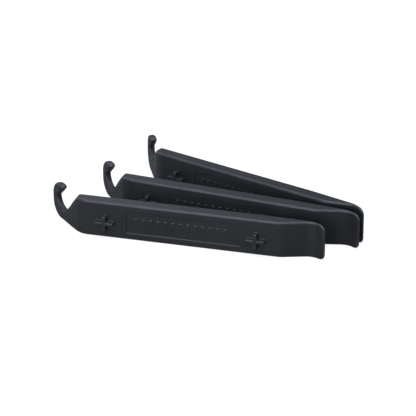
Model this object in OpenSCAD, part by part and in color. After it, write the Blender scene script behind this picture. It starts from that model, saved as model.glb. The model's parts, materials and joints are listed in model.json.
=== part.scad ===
// Tyre levers: a set of identical one-piece moulded nylon levers that clip together, stood on their
// long edges and fanned out. Each lever has a spoke hook bent back at one end and a thin curled blade
// at the other. Two cross-shaped studs on the front press into two cross-shaped sockets on the back
// of the next lever.
// Units are millimetres. X runs along the front lever from its hook to its blade, Y from the stud
// face to the back, Z up from the edge the levers stand on.

/* [Bar] */
// overall length of one lever, from the hook's outer edge to the blade's nose
lever_len = 120.7; // [112:0.1:130]
// depth of the bar, which is the lever's height as it stands on edge
bar_h = 15.6; // [15:0.1:18]
// thickness of the bar
bar_t = 6.2; // [5.8:0.1:8]
// rounding of the bar's long edges
edge_r = 0.8; // [0.3:0.1:1.2]

/* [Hook end] */
// angle the hook end is bent back from the bar
hook_bend = 44; // [35:1:50]
// thickness of the bent-back plate
plate_t = 2.9; // [2.4:0.1:3.2]
// length of the plate from the bend line to the hook's outer edge
hook_reach = 24; // [23.6:0.2:25.6]
// radius of the round end of the spoke slot
throat_r = 5.1; // [4.6:0.1:5.2]
// distance of the slot's round end from the bend line
throat_s = 15.5; // [15.2:0.1:15.8]
// height of the slot's round end above the lower edge
throat_z = 10; // [9.8:0.1:10.2]
// slope of the slot
throat_slope = 43.8; // [40:0.2:46]
// gap from the middle of the slot to the underside of the hook's head
head_gap = 3.1; // [2.8:0.1:3.4]
// outer rounding of the hook at its lower corner
hook_r_low = 7; // [5:0.5:7]
// outer rounding of the hook at its upper corner
hook_r_top = 5.5; // [4:0.5:6]

/* [Blade] */
// length of the tapered and curled part
blade_len = 18.5; // [16:0.5:20]
// distance of the blade's thinnest point from the nose
curl_len = 6.5; // [6:0.1:7]
// inside radius of the curl
curl_r = 6.4; // [5.5:0.1:7]
// rounding of the blade's end corners, seen from the front
nose_r = 3; // [2:0.5:4]

/* [Studs and sockets] */
// distance of the first stud from the hook's outer edge
stud_x1 = 28.3; // [27.3:0.5:29.3]
// distance between the two studs
stud_pitch = 64; // [60:0.5:66]
// height of the stud centres above the lower edge
stud_z = 6.8; // [6.6:0.1:8]
// length of the cross's level arm
stud_span_x = 7.7; // [6:0.1:8]
// length of the cross's upright arm
stud_span_z = 6.4; // [5:0.1:7]
// thickness of the arms
stud_bar = 1.3; // [1:0.1:1.6]
// how far the stud stands out of the front face
stud_out = 2.5; // [2:0.1:3]
// gap left around a stud in its socket
socket_gap = 0.15; // [0.1:0.05:0.3]

/* [Panel] */
// depth of the recessed panel on the front face
panel_in = 0.35; // [0.2:0.05:0.5]
// number of short raised bars in the panel
panel_bars = 13; // [9:1:15]

/* [Fan] */
// turn of the middle lever from the front lever
middle_turn = 6.13; // [6:0.01:7]
// turn of the rear lever from the front lever
rear_turn = 19.88; // [19:0.01:21]

/* [Hidden] */

arc_fn = 48;
// the set is centred over the origin: position of each lever's hook-end back corner
front_at = [-66.25, -31.04];
middle_at = front_at + [12.35, 26.59];
rear_at = front_at + [20.38, 59.67];

// line on the front face where the hook end bends back
bend_x = hook_reach * cos(hook_bend);
// point where the plate's back face leaves the bar's back face
back_s = (bar_t - plate_t * cos(hook_bend)) / sin(hook_bend);
back_x = bend_x + plate_t * sin(hook_bend) - back_s * cos(hook_bend);
// start of the blade's taper on the front face, and of its sweep on the back face
taper_x = lever_len - blade_len;
sweep_x = taper_x - 8.5;
// centre of the curl, its thinnest point and the taper's slope, tangent to the curl
curl_x = lever_len - curl_len;
curl_v = 2.62 + curl_r;
taper_a = asin(curl_r / norm([curl_x - taper_x, curl_v - bar_t]))
        - atan2(curl_v - bar_t, curl_x - taper_x);
// outer curve of the curl, on the back face
curl_out_r = 13;
curl_out_x = curl_x - 2.93;
lip_a = 26;
// centre and radius of the rounded nose
lip_r = 0.65;
lip_x = lever_len - lip_r;
curl_end_x = curl_out_x + curl_out_r * sin(lip_a);
curl_end_v = 0.6 + curl_out_r * (1 - cos(lip_a));
lip_run = (lip_x + lip_r * sin(lip_a) - curl_end_x) / cos(lip_a);
lip_v = curl_end_v + lip_run * sin(lip_a) + lip_r * cos(lip_a);

lever_color = [0.13, 0.13, 0.14];

// points of an arc about c, from angle a0 to a1
function arc(c, r, a0, a1, n = 8) =
    [for (i = [0:n]) c + r * [cos(a0 + (a1 - a0) * i / n), sin(a0 + (a1 - a0) * i / n)]];

// outline of the bar and blade seen from above; the front face is at y = -bar_t
module plan() {
    mirror([0, 1])
        polygon(concat(
            [[back_x, 0], [sweep_x, 0]],
            arc([curl_out_x, 0.6 + curl_out_r], curl_out_r, -89, lip_a - 90, 6),
            arc([lip_x, lip_v], lip_r, lip_a - 90, lip_a + 90, 6),
            arc([curl_x, curl_v], curl_r, lip_a - 90, -taper_a - 90, 8),
            [[taper_x, bar_t], [bend_x, bar_t]]));
}

// outline of the bar and blade seen from the front, with the nose corners rounded
module side() {
    polygon(concat([[0, 0]],
        arc([lever_len - nose_r, nose_r], nose_r, -90, 0),
        arc([lever_len - nose_r, bar_h - nose_r], nose_r, 0, 90),
        [[0, bar_h]]));
}

// long cutter that rounds an edge lying on the x axis; the solid fills +y and +z
module round_edge(x0, x1) {
    translate([x0, 0, 0]) rotate([90, 0, 90]) linear_extrude(x1 - x0)
        difference() {
            translate([-1, -1]) square(edge_r + 1);
            translate([edge_r, edge_r]) circle(edge_r, $fn = arc_fn);
        }
}

// bar and blade with the edges of the back face rounded
module bar() {
    difference() {
        intersection() {
            linear_extrude(bar_h) plan();
            rotate([90, 0, 0]) linear_extrude(3 * bar_t, center = true) side();
        }
        for (up = [0, 1]) translate([0, 0, up * bar_h]) mirror([0, 0, up]) mirror([0, 1, 0])
            round_edge(back_x, sweep_x);
    }
}

// places children on the bent-back plate: x runs out along it, y out of its front face
module on_plate() {
    translate([bend_x, -bar_t, 0]) rotate([0, 0, 180 - hook_bend]) children();
}

// the plate with the hook's rounded outline, before the slot is cut
module plate() {
    rotate([90, 0, 0]) linear_extrude(plate_t)
        polygon(concat([[0, 0]],
            arc([hook_reach - hook_r_low, hook_r_low], hook_r_low, -90, 0),
            arc([hook_reach - hook_r_top, bar_h - hook_r_top], hook_r_top, 0, 90),
            [[0, bar_h]]));
}

// slot for a spoke: round at its inner end and open at the upper edge
module throat() {
    rotate([90, 0, 0]) translate([0, 0, -3]) linear_extrude(12) {
        translate([throat_s, throat_z]) rotate(180 - throat_slope) {
            // the head's straight underside cuts the round end short
            intersection() {
                circle(throat_r, $fn = 96);
                translate([-throat_r, -head_gap]) square(3 * throat_r);
            }
            translate([0, -head_gap]) square([30, head_gap + throat_r]);
        }
        // blunt end of the hook's head
        polygon([[15.4, 14], [15.4, 14.9], [17.8, 16.1], [17.8, 20], [9, 20]]);
    }
}

// rounds the front edges of the taper, the bar and the plate, which meet in mitres
module front_edges() {
    for (up = [0, 1]) translate([0, 0, up * bar_h]) mirror([0, 0, up]) {
        translate([taper_x, -bar_t, 0]) rotate([0, 0, taper_a])
            round_edge(-0.5, (curl_x - taper_x) * 0.86);
        translate([0, -bar_t, 0]) round_edge(bend_x - 1, taper_x + 0.5);
        on_plate() mirror([0, 1, 0]) round_edge(-1, up == 1 ? 8 : hook_reach - hook_r_low);
    }
}

// a cross, grown by g on every side, standing h tall
module cross(g, h) {
    for (s = [[stud_span_x, stud_bar], [stud_bar, stud_span_z]])
        translate([-s[0] / 2 - g, 0, -s[1] / 2 - g]) cube([s[0] + 2 * g, h, s[1] + 2 * g]);
}

module stud_places() {
    for (x = [stud_x1, stud_x1 + stud_pitch]) translate([x, 0, stud_z]) children();
}

// shallow panel with a plain row of short upright bars
module panel() {
    x0 = stud_x1 + 9;
    x1 = stud_x1 + stud_pitch - 6.7;
    pitch = 41 / panel_bars;
    difference() {
        translate([x0, -bar_t - 1, 3]) cube([x1 - x0, 1 + panel_in, bar_h - 6.2]);
        for (i = [0:panel_bars - 1])
            translate([x0 + 3.4 + i * pitch, -bar_t - 0.02, 6.3])
                cube([pitch * 0.5, panel_in + 1, 3.5]);
    }
}

module lever() {
    color(lever_color) difference() {
        union() {
            difference() {
                bar();
                on_plate() throat();
            }
            on_plate() difference() {
                plate();
                throat();
                translate([0, -plate_t, 0]) round_edge(back_s, hook_reach - hook_r_low);
            }
            stud_places() translate([0, -bar_t - stud_out, 0]) cross(0, stud_out + 1);
        }
        front_edges();
        stud_places() translate([0, -stud_out - 0.2, 0]) cross(socket_gap, stud_out + 1.2);
        panel();
    }
}

module front_lever() translate([front_at[0], front_at[1], 0]) lever();

module middle_lever()
    translate([middle_at[0], middle_at[1], 0]) rotate([0, 0, -middle_turn]) lever();

module rear_lever()
    translate([rear_at[0], rear_at[1], 0]) rotate([0, 0, -rear_turn]) lever();

front_lever();
middle_lever();
rear_lever();
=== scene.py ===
"""Visual model of a set of clip-together tyre levers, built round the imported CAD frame.

Each lever is one closed skin, taken from a signed distance field in the lever's own frame:
x along the lever from its hook, y from the stud face (y = -BAR_T) to the back (y = 0), z up.
Lengths in the geometry part are millimetres; they become metres when a lever is placed.
"""
import json
import math

import bpy
import numpy as np
from mathutils import Matrix, Vector


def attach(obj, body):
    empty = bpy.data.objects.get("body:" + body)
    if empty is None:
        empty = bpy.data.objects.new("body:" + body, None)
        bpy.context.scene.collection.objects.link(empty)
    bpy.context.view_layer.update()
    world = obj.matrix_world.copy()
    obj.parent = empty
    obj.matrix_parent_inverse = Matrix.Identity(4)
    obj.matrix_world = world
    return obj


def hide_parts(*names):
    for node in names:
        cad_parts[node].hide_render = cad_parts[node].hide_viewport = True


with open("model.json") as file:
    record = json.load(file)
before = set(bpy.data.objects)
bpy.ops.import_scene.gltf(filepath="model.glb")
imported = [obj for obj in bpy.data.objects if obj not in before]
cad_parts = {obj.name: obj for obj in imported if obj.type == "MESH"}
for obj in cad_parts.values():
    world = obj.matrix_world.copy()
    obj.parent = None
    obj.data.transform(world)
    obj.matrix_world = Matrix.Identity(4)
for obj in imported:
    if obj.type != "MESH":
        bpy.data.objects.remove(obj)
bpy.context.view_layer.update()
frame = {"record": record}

MM = 0.001
LEVERS = ("front_lever", "middle_lever", "rear_lever")

# ---- sizes of one lever, as in the CAD ----
LEVER_LEN, BAR_H, BAR_T = 120.7, 15.6, 6.2
BEND = math.radians(44)
PLATE_T, HOOK_REACH = 2.9, 24.0
BEND_X = HOOK_REACH * math.cos(BEND)
THROAT_R, THROAT_S, THROAT_Z = 5.1, 15.5, 10.0
THROAT_SLOPE, HEAD_GAP, HEAD_S = math.radians(43.8), 3.1, 15.5
TAPER_X, CURL_X, CURL_R, THIN_V = 102.2, 114.2, 6.4, 2.62
OUT_X, OUT_V0, OUT_R, LIP, LIP_R = 111.27, 0.6, 13.0, math.radians(26), 0.65
SWEEP_X = 93.7
STUD_X, STUD_Z, STUD_OUT = (28.3, 92.3), 6.8, 2.5
SPAN_X, SPAN_Z, ARM = 7.7, 6.4, 1.3
GAP, SOCKET_DEEP = 0.15, 2.7
PANEL_X, PANEL_Z, PANEL_IN = (37.3, 85.6), (3.0, 12.4), 0.32
BARS, BAR_X0, BARS_LEN, BAR_Z = 13, 40.7, 41.0, (6.3, 9.8)
HOOK_R_LOW, HOOK_R_TOP, NOSE_R, EDGE_R = 7.0, 5.5, 3.0, 0.8

# ---- softer corners than the CAD's ----
BEND_R, TAPER_R, BACK_R, SWEEP_R = 8.0, 9.0, 2.0, 60.0
SLOT_TOP_R, STUD_EDGE_R, STUD_FOOT_R, RIM_R = 2.6, 0.2, 0.25, 0.15
ROD_FROM, ROD_MORE = (8, 15), 0.3               # the hook's rod is rounder than the bar's edges
HEAD_SWELL, HEAD_AT, HEAD_SPREAD = 0.26, (18.2, 13.0), 9.0
SLOT_TURNS = (6.5, 9.5)                         # where the slot turns from square to straight back
PANEL_FADE, PANEL_EDGE_R = 0.6, 0.16            # the panel gets shallower towards the blade

# ---- limits used while building ----
HOOK_ZONE, BLADE_ZONE = 24, 88                  # between these x the lever is a straight bar
BEYOND = 200                                    # half length of a box that ends off the lever


# ---- outlines ----
def arc(c, r, a0, a1, n):
    a = np.linspace(a0, a1, n + 1)
    return [(c[0] + r * math.cos(t), c[1] + r * math.sin(t)) for t in a]


def fillet(corners, steps=8):
    """Rounds each (x, y, radius) corner of a closed outline."""
    out = []
    for i, (x, y, r) in enumerate(corners):
        p = np.array((x, y))
        if r <= 0:
            out.append((x, y))
            continue
        a = np.array(corners[i - 1][:2]) - p
        b = np.array(corners[(i + 1) % len(corners)][:2]) - p
        a, b = a / np.hypot(*a), b / np.hypot(*b)
        half = math.acos(np.clip(a @ b, -1, 1)) / 2
        c = p + (a + b) / np.hypot(*(a + b)) * r / math.sin(half)
        t0, t1 = p + a * r / math.tan(half) - c, p + b * r / math.tan(half) - c
        a0, a1 = math.atan2(t0[1], t0[0]), math.atan2(t1[1], t1[0])
        a1 = a0 + (a1 - a0 + math.pi) % (2 * math.pi) - math.pi
        out += arc(c, r, a0, a1, steps)
    return out


def plate_point(s, yp):
    """Lever coordinates of a point s along the bent-back plate and yp out of its front."""
    c, k = math.cos(BEND), math.sin(BEND)
    return BEND_X - s * c - yp * k, -BAR_T + s * k - yp * c


def plan_outline():
    """The lever seen from above: bar, bent-back plate and curled blade."""
    c, k = math.cos(BEND), math.sin(BEND)
    back_s = (BAR_T - PLATE_T * c) / k
    back_x = BEND_X + PLATE_T * k - back_s * c
    curl_v = THIN_V + CURL_R
    taper = math.asin(CURL_R / math.hypot(CURL_X - TAPER_X, curl_v - BAR_T)) - math.atan2(
        curl_v - BAR_T, CURL_X - TAPER_X)
    end_x = OUT_X + OUT_R * math.sin(LIP)
    end_v = OUT_V0 + OUT_R * (1 - math.cos(LIP))
    lip_x = LEVER_LEN - LIP_R
    run = (lip_x + LIP_R * math.sin(LIP) - end_x) / math.cos(LIP)
    lip_v = end_v + run * math.sin(LIP) + LIP_R * math.cos(LIP)
    q = math.pi / 2
    past_hook = HOOK_REACH + 10
    pts = [(*plate_point(past_hook, -PLATE_T), 0), (back_x, 0, BACK_R), (SWEEP_X, 0, SWEEP_R)]
    pts += [(x, -v, 0) for x, v in arc((OUT_X, OUT_V0 + OUT_R), OUT_R, -1.03 * q, LIP - q, 14)]
    pts += [(x, -v, 0) for x, v in arc((lip_x, lip_v), LIP_R, LIP - q, LIP + q, 10)]
    pts += [(x, -v, 0) for x, v in arc((CURL_X, curl_v), CURL_R, LIP - q, -taper - q, 14)]
    pts += [(TAPER_X, -BAR_T, TAPER_R), (BEND_X, -BAR_T, BEND_R), (*plate_point(past_hook, 0), 0)]
    return np.array(fillet(pts))


def hook_outline():
    """The plate seen square on, in (s, z): hook, open slot and head."""
    inboard = -40
    a = np.array((-math.cos(THROAT_SLOPE), math.sin(THROAT_SLOPE)))
    n = np.array((math.sin(THROAT_SLOPE), math.cos(THROAT_SLOPE)))
    c = np.array((THROAT_S, THROAT_Z))
    reach = math.sqrt(THROAT_R**2 - HEAD_GAP**2)
    low = c - THROAT_R * n
    top = low + a * (BAR_H - low[1]) / a[1]
    inner = c + HEAD_GAP * n - reach * a
    barb = inner + a * (HEAD_S - inner[0]) / a[0]
    a_start = math.atan2(*(inner - c)[::-1])
    a_low = math.atan2(*(low - c)[::-1])
    pts = [(inboard, 0, 0), (HOOK_REACH, 0, HOOK_R_LOW), (HOOK_REACH, BAR_H, HOOK_R_TOP),
           (HEAD_S + 1.5, BAR_H, 0.6), (HEAD_S - 0.1, 14.85, 0.35), (barb[0], barb[1], 0.25)]
    pts += [(x, z, 0) for x, z in arc(c, THROAT_R, a_start, a_low, 36)]
    pts += [(top[0], top[1], SLOT_TOP_R), (inboard, BAR_H, 0)]
    return np.array(fillet(pts, 10))


# ---- signed distances, negative inside ----
def sd_outline(px, py, pts):
    """Distance from points to a closed outline."""
    best = np.full(px.shape, 1e9)
    inside = np.zeros(px.shape, bool)
    for (ax, ay), (bx, by) in zip(pts, np.roll(pts, -1, 0)):
        ex, ey = bx - ax, by - ay
        size = ex * ex + ey * ey
        if size < 1e-12:
            continue
        wx, wy = px - ax, py - ay
        t = np.clip((wx * ex + wy * ey) / size, 0, 1)
        best = np.minimum(best, (wx - ex * t) ** 2 + (wy - ey * t) ** 2)
        if ey:
            crosses = (ay > py) != (by > py)
            inside ^= crosses & (px < ax + ex * (py - ay) / ey)
    return np.where(inside, -1, 1) * np.sqrt(best)


def sd_box(px, py, cx, cy, hx, hy, r=0.0):
    qx, qy = np.abs(px - cx) - hx + r, np.abs(py - cy) - hy + r
    return np.minimum(np.maximum(qx, qy), 0) + np.hypot(np.maximum(qx, 0), np.maximum(qy, 0)) - r


def both(a, b, r):
    """What two shapes share, with the edge between them rounded to radius r."""
    a, b = a + r, b + r
    return np.minimum(np.maximum(a, b), 0) + np.hypot(np.maximum(a, 0), np.maximum(b, 0)) - r


def either(a, b, r):
    """Two shapes together, with the corner between them filled to radius r."""
    return -both(-a, -b, r)


def smooth(x, lo, hi):
    t = np.clip((x - lo) / (hi - lo), 0, 1)
    return t * t * (3 - 2 * t)


PLAN, HOOK = plan_outline(), hook_outline()


def plan_distance(x, y):
    """Distance to the plan outline; between the hook end and the blade it is a straight bar."""
    x, y = np.broadcast_arrays(x, y)
    d = np.maximum(-BAR_T - y, y)
    ends = (x < HOOK_ZONE) | (x > BLADE_ZONE)
    d[ends] = sd_outline(x[ends], y[ends], PLAN)
    return d


def lever_distance(x, y, z):
    """Distance to the skin of one lever; x, y and z are arrays of one shape that broadcast."""
    plan = plan_distance(x, y)
    c, k = math.cos(BEND), math.sin(BEND)
    s = -(x - BEND_X) * c + (y + BAR_T) * k
    side = sd_box(x, z, LEVER_LEN - BEYOND, BAR_H / 2, BEYOND, BAR_H / 2, NOSE_R)
    # the slot is square to the plate out at the hook, and runs straight back where it meets the bar
    s_cut = s + (-(x - BEND_X) / c - s) * (1 - smooth(s, *SLOT_TURNS))
    bent = np.broadcast_to(x < HOOK_ZONE, np.broadcast(x, y, z).shape)
    elev = np.broadcast_to(side, bent.shape).copy()
    elev[bent] = np.maximum(elev[bent], sd_outline(
        np.broadcast_to(s_cut, bent.shape)[bent], np.broadcast_to(z, bent.shape)[bent], HOOK))
    rod = smooth(s, *ROD_FROM) * (x < HOOK_ZONE)
    off_head = (s - HEAD_AT[0]) ** 2 + (z - HEAD_AT[1]) ** 2
    head = np.exp(-off_head / HEAD_SPREAD) * (x < HOOK_ZONE)
    d = both(plan - HEAD_SWELL * head, elev, EDGE_R + ROD_MORE * rod)
    for sx in STUD_X:
        cross = np.minimum(sd_box(x, z, sx, STUD_Z, SPAN_X / 2, ARM / 2, RIM_R),
                           sd_box(x, z, sx, STUD_Z, ARM / 2, SPAN_Z / 2, RIM_R))
        stud = both(cross, np.abs(y + BAR_T) - STUD_OUT, STUD_EDGE_R)
        d = either(d, stud, STUD_FOOT_R)
        d = both(d, -np.maximum(cross - GAP, -(y + SOCKET_DEEP)), RIM_R)
    cx, cz = np.mean(PANEL_X), np.mean(PANEL_Z)
    field = sd_box(x, z, cx, cz, np.ptp(PANEL_X) / 2, np.ptp(PANEL_Z) / 2, 0.5)
    pitch = BARS_LEN / BARS
    i = np.clip(np.round((x - BAR_X0 - pitch / 4) / pitch), 0, BARS - 1)
    bar = sd_box(x - i * pitch, z, BAR_X0 + pitch / 4, np.mean(BAR_Z), pitch / 4,
                 np.ptp(BAR_Z) / 2, 0.2)
    deep = PANEL_IN * (1 - PANEL_FADE * smooth(x, *PANEL_X))
    recess = np.maximum(np.maximum(field, -bar), y + BAR_T - deep)
    return both(d, -recess, PANEL_EDGE_R)


# ---- skin of the field ----
def lines(lo, hi, marks, fine, coarse, growth=0.22):
    """Grid lines from lo to hi, closer together near the marks."""
    out, marks = [lo], np.array(marks)
    while out[-1] < hi:
        near = np.abs(marks - out[-1]).min() - 0.15
        out.append(out[-1] + min(max(fine, fine + growth * near), coarse))
    return np.array(out)


def lever_grid():
    """Grid lines along x, y and z, past the lever on every side and finest at its details."""
    pitch = BARS_LEN / BARS
    mx = [x + d for x in STUD_X for d in (-SPAN_X / 2, -ARM / 2, ARM / 2, SPAN_X / 2)]
    mx += [BAR_X0 + i * pitch + d for i in range(BARS) for d in (0, pitch / 2)]
    mx += list(PANEL_X) + list(np.arange(0, HOOK_ZONE, 0.5)) + list(np.arange(112.5, 121, 0.5))
    mz = [0, 0.4, BAR_H - 0.4, BAR_H, *PANEL_Z, *BAR_Z]
    mz += [STUD_Z + d for d in (-SPAN_Z / 2, -ARM / 2, ARM / 2, SPAN_Z / 2)]
    my = [-BAR_T - STUD_OUT, -BAR_T, -BAR_T + PANEL_IN, -SOCKET_DEEP, -0.3, 0]
    return (lines(-0.7, 121.3, mx, 0.2, 0.6), lines(-9.2, 12.9, my, 0.17, 0.34),
            lines(-0.4, 16.0, mz, 0.17, 0.42))


def skin(field, gx, gy, gz, rounds=2):
    """Vertices and quads of the field's zero level: one vertex for each grid cell it crosses."""
    d = field(gx[:, None, None], gy[None, :, None], gz[None, None, :])
    inside = d < 0
    shape = np.array(d.shape) - 1
    total, hits = np.zeros((*shape, 3)), np.zeros(shape)
    grids = (gx, gy, gz)
    for axis in range(3):
        lo = [slice(None)] * 3
        hi = [slice(None)] * 3
        lo[axis], hi[axis] = slice(0, -1), slice(1, None)
        a, b = d[tuple(lo)], d[tuple(hi)]
        cut = (a < 0) != (b < 0)
        i = np.argwhere(cut)
        t = a[cut] / (a[cut] - b[cut])
        p = np.stack([grids[n][i[:, n]] for n in range(3)], 1)
        g = grids[axis]
        p[:, axis] += t * (g[i[:, axis] + 1] - g[i[:, axis]])
        others = [n for n in range(3) if n != axis]
        for u in (0, 1):
            for v in (0, 1):
                j = i.copy()
                j[:, others[0]] -= u
                j[:, others[1]] -= v
                ok = (j >= 0).all(1) & (j < shape).all(1)
                np.add.at(total, tuple(j[ok].T), p[ok])
                np.add.at(hits, tuple(j[ok].T), 1)
    used = hits > 0
    index = np.full(shape, -1)
    index[used] = np.arange(used.sum())
    verts = total[used] / hits[used][:, None]
    quads = []
    for axis in range(3):
        lo = [slice(None)] * 3
        hi = [slice(None)] * 3
        lo[axis], hi[axis] = slice(0, -1), slice(1, None)
        a, b = inside[tuple(lo)], inside[tuple(hi)]
        i = np.argwhere(a != b)
        u, v = (axis + 1) % 3, (axis + 2) % 3
        ring = []
        for du, dv in ((0, 0), (-1, 0), (-1, -1), (0, -1)):
            j = i.copy()
            j[:, u] += du
            j[:, v] += dv
            ring.append(index[tuple(j.T)])
        ring = np.stack(ring, 1)
        flip = b[tuple(i.T)]
        ring[flip] = ring[flip][:, ::-1]
        quads.append(ring)
    quads = np.vstack(quads)
    for step in range(rounds):
        verts = onto(field, verts)
        if step < rounds - 1:
            verts += 0.4 * along_skin(field, verts, quads)
    return onto(field, verts), quads


def slope(field, p, here=None, h=0.003):
    """Gradient of the field at each point, by a small step h."""
    here = field(*p.T) if here is None else here
    return np.stack([(field(*(p + e).T) - here) / h for e in np.eye(3) * h], 1)


def onto(field, p):
    """Moves points straight onto the skin."""
    here = field(*p.T)
    g = slope(field, p, here)
    step = (here / np.maximum((g * g).sum(1), 0.25))[:, None] * g
    return p - np.clip(step, -0.25, 0.25)


def along_skin(field, p, quads):
    """How far each point is from the middle of its neighbours, within the skin."""
    total, count = np.zeros_like(p), np.zeros(len(p))
    for a, b in ((0, 1), (1, 2), (2, 3), (3, 0)):
        np.add.at(total, quads[:, a], p[quads[:, b]])
        np.add.at(total, quads[:, b], p[quads[:, a]])
        np.add.at(count, quads[:, a], 1)
        np.add.at(count, quads[:, b], 1)
    move = total / count[:, None] - p
    g = slope(field, p)
    g /= np.maximum(np.linalg.norm(g, axis=1, keepdims=True), 1e-6)
    return move - (move * g).sum(1, keepdims=True) * g


def edge_wear_and_sheen(verts, quads, normals):
    """How sharply the skin turns outwards at each point, from 0 on a flat to 1 on a crisp edge."""
    total, count = np.zeros(len(verts)), np.zeros(len(verts))
    for a, b in ((0, 1), (1, 2), (2, 3), (3, 0)):
        for u, v in ((quads[:, a], quads[:, b]), (quads[:, b], quads[:, a])):
            step = verts[v] - verts[u]
            bend = -2 * (step * normals[u]).sum(1) / np.maximum((step * step).sum(1), 1e-3)
            np.add.at(total, u, bend)
            np.add.at(count, u, 1)
    return np.clip(total / np.maximum(count, 1) / 1.5, 0, 1)


# ---- material ----
DARK, LIGHT = (0.0118, 0.0125, 0.0138, 1), (0.0162, 0.0170, 0.0186, 1)
# lighter colour for convex edges, part rubbed wear and part painted highlight, and how much
# smoother those edges are
RUBBED_AND_SHEEN, RUBBED_SMOOTHER = (0.045, 0.047, 0.050, 1), 0.14


def nylon(name, seed):
    """Satin near-black moulded nylon: spark-eroded grain, flow marks, and edges lighter and
    smoother, part rubbed wear and part painted highlight.
    """
    mat = bpy.data.materials.new(name)
    mat.use_nodes = True
    tree = mat.node_tree
    bsdf = tree.nodes["Principled BSDF"]
    link = tree.links.new

    def node(kind, **settings):
        n = tree.nodes.new("ShaderNode" + kind)
        for key, value in settings.items():
            if key in n.inputs:
                n.inputs[key].default_value = value
            else:
                setattr(n, key, value)
        return n

    where = node("TexCoord")
    shift = node("Mapping")
    shift.inputs["Location"].default_value = (seed * 0.37, seed * 0.53, seed * 0.29)
    link(where.outputs["Object"], shift.inputs["Vector"])

    def noise(scale, detail=2.0, rough=0.5):
        n = node("TexNoise", Scale=scale, Detail=detail, Roughness=rough)
        link(shift.outputs["Vector"], n.inputs["Vector"])
        return n.outputs["Fac"]

    def mapped(value, lo, hi, a=0.0, b=1.0):
        n = node("MapRange")
        for i, v in enumerate((lo, hi, a, b)):
            n.inputs[i + 1].default_value = v
        link(value, n.inputs[0])
        return n.outputs[0]

    def mixed(fac, a, b):
        n = node("Mix", data_type="RGBA")
        link(fac, n.inputs["Factor"])
        for key, value in (("A", a), ("B", b)):
            sock = [i for i in n.inputs if i.name == key and i.type == "RGBA"][0]
            if isinstance(value, tuple):
                sock.default_value = value
            else:
                link(value, sock)
        return [o for o in n.outputs if o.type == "RGBA"][0]

    def summed(a, b, operation="ADD"):
        n = node("Math", operation=operation)
        for i, v in enumerate((a, b)):
            if isinstance(v, (int, float)):
                n.inputs[i].default_value = v
            else:
                link(v, n.inputs[i])
        return n.outputs[0]

    # how sharply the skin turns outwards, which marks the edges for rubbed wear and a painted
    # highlight
    wear_and_sheen = node("Attribute", attribute_name="edge_wear_and_sheen").outputs["Fac"]
    grain, flow, cloud = noise(5200.0), noise(130.0, 3.0), noise(38.0, 4.0, 0.6)

    body = mixed(mapped(cloud, 0.3, 0.7), DARK, LIGHT)
    # convex edges are mixed towards a lighter colour: part rubbed wear, part painted highlight
    rubbed_and_sheen = summed(wear_and_sheen, mapped(flow, 0.35, 0.65, 0.35, 1.0), "MULTIPLY")
    link(mixed(rubbed_and_sheen, body, RUBBED_AND_SHEEN), bsdf.inputs["Base Color"])

    rough = summed(mapped(flow, 0.3, 0.7, 0.43, 0.52), mapped(grain, 0.3, 0.7, -0.03, 0.03))
    link(summed(rough, summed(rubbed_and_sheen, RUBBED_SMOOTHER, "MULTIPLY"), "SUBTRACT"),
         bsdf.inputs["Roughness"])
    bsdf.inputs["Specular IOR Level"].default_value = 0.45
    bsdf.inputs["IOR"].default_value = 1.5

    fine = node("Bump", Strength=0.35, Distance=0.00002)
    link(grain, fine.inputs["Height"])
    soft = node("Bump", Strength=0.5, Distance=0.0001)
    link(flow, soft.inputs["Height"])
    link(fine.outputs["Normal"], soft.inputs["Normal"])
    link(soft.outputs["Normal"], bsdf.inputs["Normal"])
    return mat


# ---- levers ----
mounts = {m["name"]: Vector(m["pos_m"]) for m in frame["record"]["mounts"]}


def placement(lever):
    """Lever frame to the shared frame, from the places of its two studs."""
    first, second = mounts[lever + "_stud_1"], mounts[lever + "_stud_2"]
    along = (second - first).normalized()
    up = Vector((0, 0, 1))
    back = up.cross(along)
    turn = Matrix((along, back, up)).transposed().to_4x4()
    tip = Vector((STUD_X[0], -BAR_T - STUD_OUT, STUD_Z)) * MM
    return Matrix.Translation(first - turn @ tip) @ turn


verts, quads = skin(lever_distance, *lever_grid())
normals = slope(lever_distance, verts)
normals /= np.linalg.norm(normals, axis=1, keepdims=True)
# the edges' lighter colour is part rubbed wear and part painted highlight; it is kept faint on the
# hook's rod, which is round by design, and on the panel's sheltered edges
hook = smooth(BEND_X - verts[:, 0], 6, 12)
panel = (sd_box(verts[:, 0], verts[:, 2], np.mean(PANEL_X), np.mean(PANEL_Z),
                np.ptp(PANEL_X) / 2, np.ptp(PANEL_Z) / 2) < 0.4) & (verts[:, 1] < 0.5 - BAR_T)
wear_and_sheen = edge_wear_and_sheen(verts, quads, normals) * (1 - 0.8 * hook) * np.where(panel, 0.15, 1)
print("lever skin:", len(verts), "points,", 2 * len(quads), "triangles")

for number, lever in enumerate(LEVERS):
    mesh = bpy.data.meshes.new(lever + "_skin")
    place = placement(lever)
    turn, at = np.array(place.to_3x3()), np.array(place.translation)
    mesh.from_pydata(verts * MM @ turn.T + at, [], quads)
    # per-point strength of the lighter edge colour: rubbed wear and painted highlight
    mesh.attributes.new("edge_wear_and_sheen", "FLOAT", "POINT").data.foreach_set(
        "value", wear_and_sheen.astype(np.float32))
    mesh.shade_smooth()
    mesh.materials.append(nylon(lever + "_nylon", number + 1))
    skin_obj = bpy.data.objects.new(lever + "_skin", mesh)
    bpy.context.scene.collection.objects.link(skin_obj)
    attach(skin_obj, lever)
    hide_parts(lever)


# ---- floor, light and camera ----
FLOOR_HALF, UNDER_Z = 3, -0.0001
COOL = (0.92, 0.985, 1.10)


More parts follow.
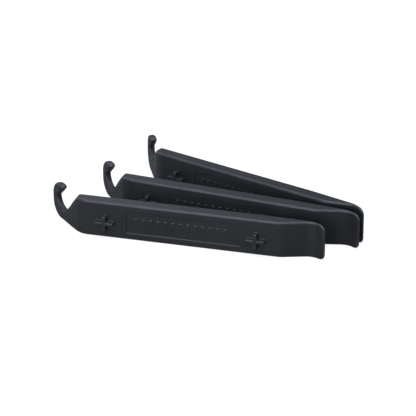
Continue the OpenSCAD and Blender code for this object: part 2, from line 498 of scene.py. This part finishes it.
def plain(name, grey, glow=0.0):
    mat = bpy.data.materials.new(name)
    mat.use_nodes = True
    bsdf = mat.node_tree.nodes["Principled BSDF"]
    bsdf.inputs["Base Color"].default_value = (grey, grey, grey, 1)
    bsdf.inputs["Roughness"].default_value = 0.8
    bsdf.inputs["Specular IOR Level"].default_value = 0.2
    bsdf.inputs["Emission Color"].default_value = (1, 1, 1, 1)
    bsdf.inputs["Emission Strength"].default_value = glow
    return mat


def sheet(name, height, material):
    mesh = bpy.data.meshes.new(name)
    corners = ((-1, -1), (1, -1), (1, 1), (-1, 1))
    mesh.from_pydata([(x * FLOOR_HALF, y * FLOOR_HALF, height) for x, y in corners], [],
                     [(0, 1, 2, 3)])
    mesh.materials.append(material)
    obj = bpy.data.objects.new(name, mesh)
    bpy.context.scene.collection.objects.link(obj)
    return obj


# a lit white table top; what the levers mirror is a dimmer sheet just under it
table = sheet("floor", 0.0, plain("floor_paper", 0.20, glow=0.85))
table.visible_diffuse = table.visible_glossy = False
under = sheet("floor_under", UNDER_Z, plain("floor_under_paper", 0.45))
under.visible_camera = False


def softbox(name, size, power, at, aim=(0, 0, 0)):
    """Rectangular lamp: size in metres, power in watts."""
    lamp = bpy.data.lights.new(name, "AREA")
    lamp.shape, lamp.size, lamp.size_y = "RECTANGLE", *size
    lamp.energy, lamp.color = power, COOL
    obj = bpy.data.objects.new(name, lamp)
    bpy.context.scene.collection.objects.link(obj)
    obj.location = at
    obj.rotation_euler = (Vector(aim) - Vector(at)).to_track_quat("-Z", "Y").to_euler()
    return obj


softbox("top_softbox", (1.0, 0.7), 9.0, (0.0, 0.0, 1.0))
softbox("right_softbox", (0.5, 0.6), 1.0, (1.0, -0.25, 0.4))
softbox("left_softbox", (0.5, 0.5), 1.5, (-1.0, 0.15, 0.3))
softbox("front_softbox", (0.8, 0.4), 6.5, (-0.3, -1.1, 0.35))
softbox("crest_softbox", (0.3, 0.25), 0.7, (0.0, -0.3, 0.35))
softbox("near_softbox", (0.36, 0.10), 0.07, (-0.03, 0.12, 0.17), (0, -0.03, 0))
softbox("corner_softbox", (0.2, 0.10), 0.06, (-0.14, 0.11, 0.15), (-0.03, -0.03, 0))

world = bpy.data.worlds.new("studio")
bpy.context.scene.world = world
world.use_nodes = True
world.node_tree.nodes["Background"].inputs["Color"].default_value = (*COOL, 1)
world.node_tree.nodes["Background"].inputs["Strength"].default_value = 0.08

AIM, DISTANCE, AZIMUTH, ELEVATION = Vector((-0.00448, 0.00103, 0)), 1.0035, 15.19, 25.15
a, e = math.radians(AZIMUTH), math.radians(ELEVATION)
to_camera = Vector((math.sin(a) * math.cos(e), -math.cos(a) * math.cos(e), math.sin(e)))
cam = bpy.data.cameras.new("camera")
cam.lens, cam.sensor_width = 205.12, 36.0
cam.clip_start, cam.clip_end = 0.05, 20
camera = bpy.data.objects.new("camera", cam)
bpy.context.scene.collection.objects.link(camera)
camera.location = AIM + to_camera * DISTANCE
camera.rotation_mode = "QUATERNION"
camera.rotation_quaternion = (-to_camera).to_track_quat("-Z", "Y")
bpy.context.scene.camera = camera
bpy.context.scene.view_settings.view_transform = "Standard"
